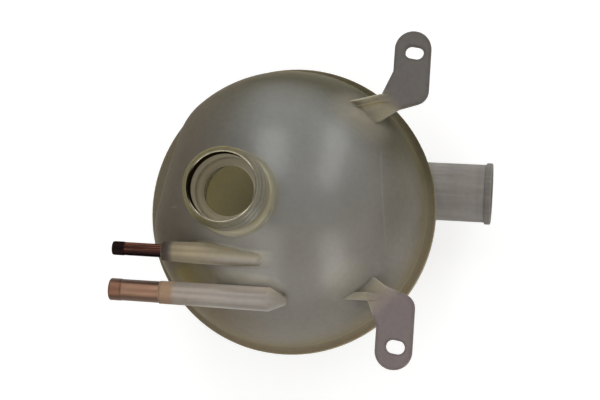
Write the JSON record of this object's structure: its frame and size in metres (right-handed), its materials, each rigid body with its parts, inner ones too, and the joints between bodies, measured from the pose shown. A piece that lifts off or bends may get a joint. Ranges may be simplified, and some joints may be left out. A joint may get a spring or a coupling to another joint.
{
  "type": "coolant expansion tank",
  "caption": "Ball-shaped translucent plastic coolant expansion tank with an open filler neck, hose pipes, an outlet stub and slotted fixing ears.",
  "frame": {"origin": "centre of the first ear's slot, on the ear's lower seat face", "axes": "+Z along the filler neck, out of its mouth; the hose pipes point to -Y and the outlet stub to +Y; the second ear lies along +X"},
  "size_m": [0.2086, 0.2228, 0.2101],
  "materials": {
    "polypropylene": "aged natural polypropylene, milky and slightly yellow, with a soft sheen",
    "liner_metal": "plain bright metal",
    "dark_copper": "darkened copper, almost black, with a shine",
    "satin_copper": "dull satin copper"
  },
  "bodies": {
    "root": {"upper_shell": "polypropylene", "lower_shell": "polypropylene", "neck_sleeve": "liner_metal", "vent_pipe": "dark_copper", "return_pipe": "satin_copper"}
  },
  "joints": []
}
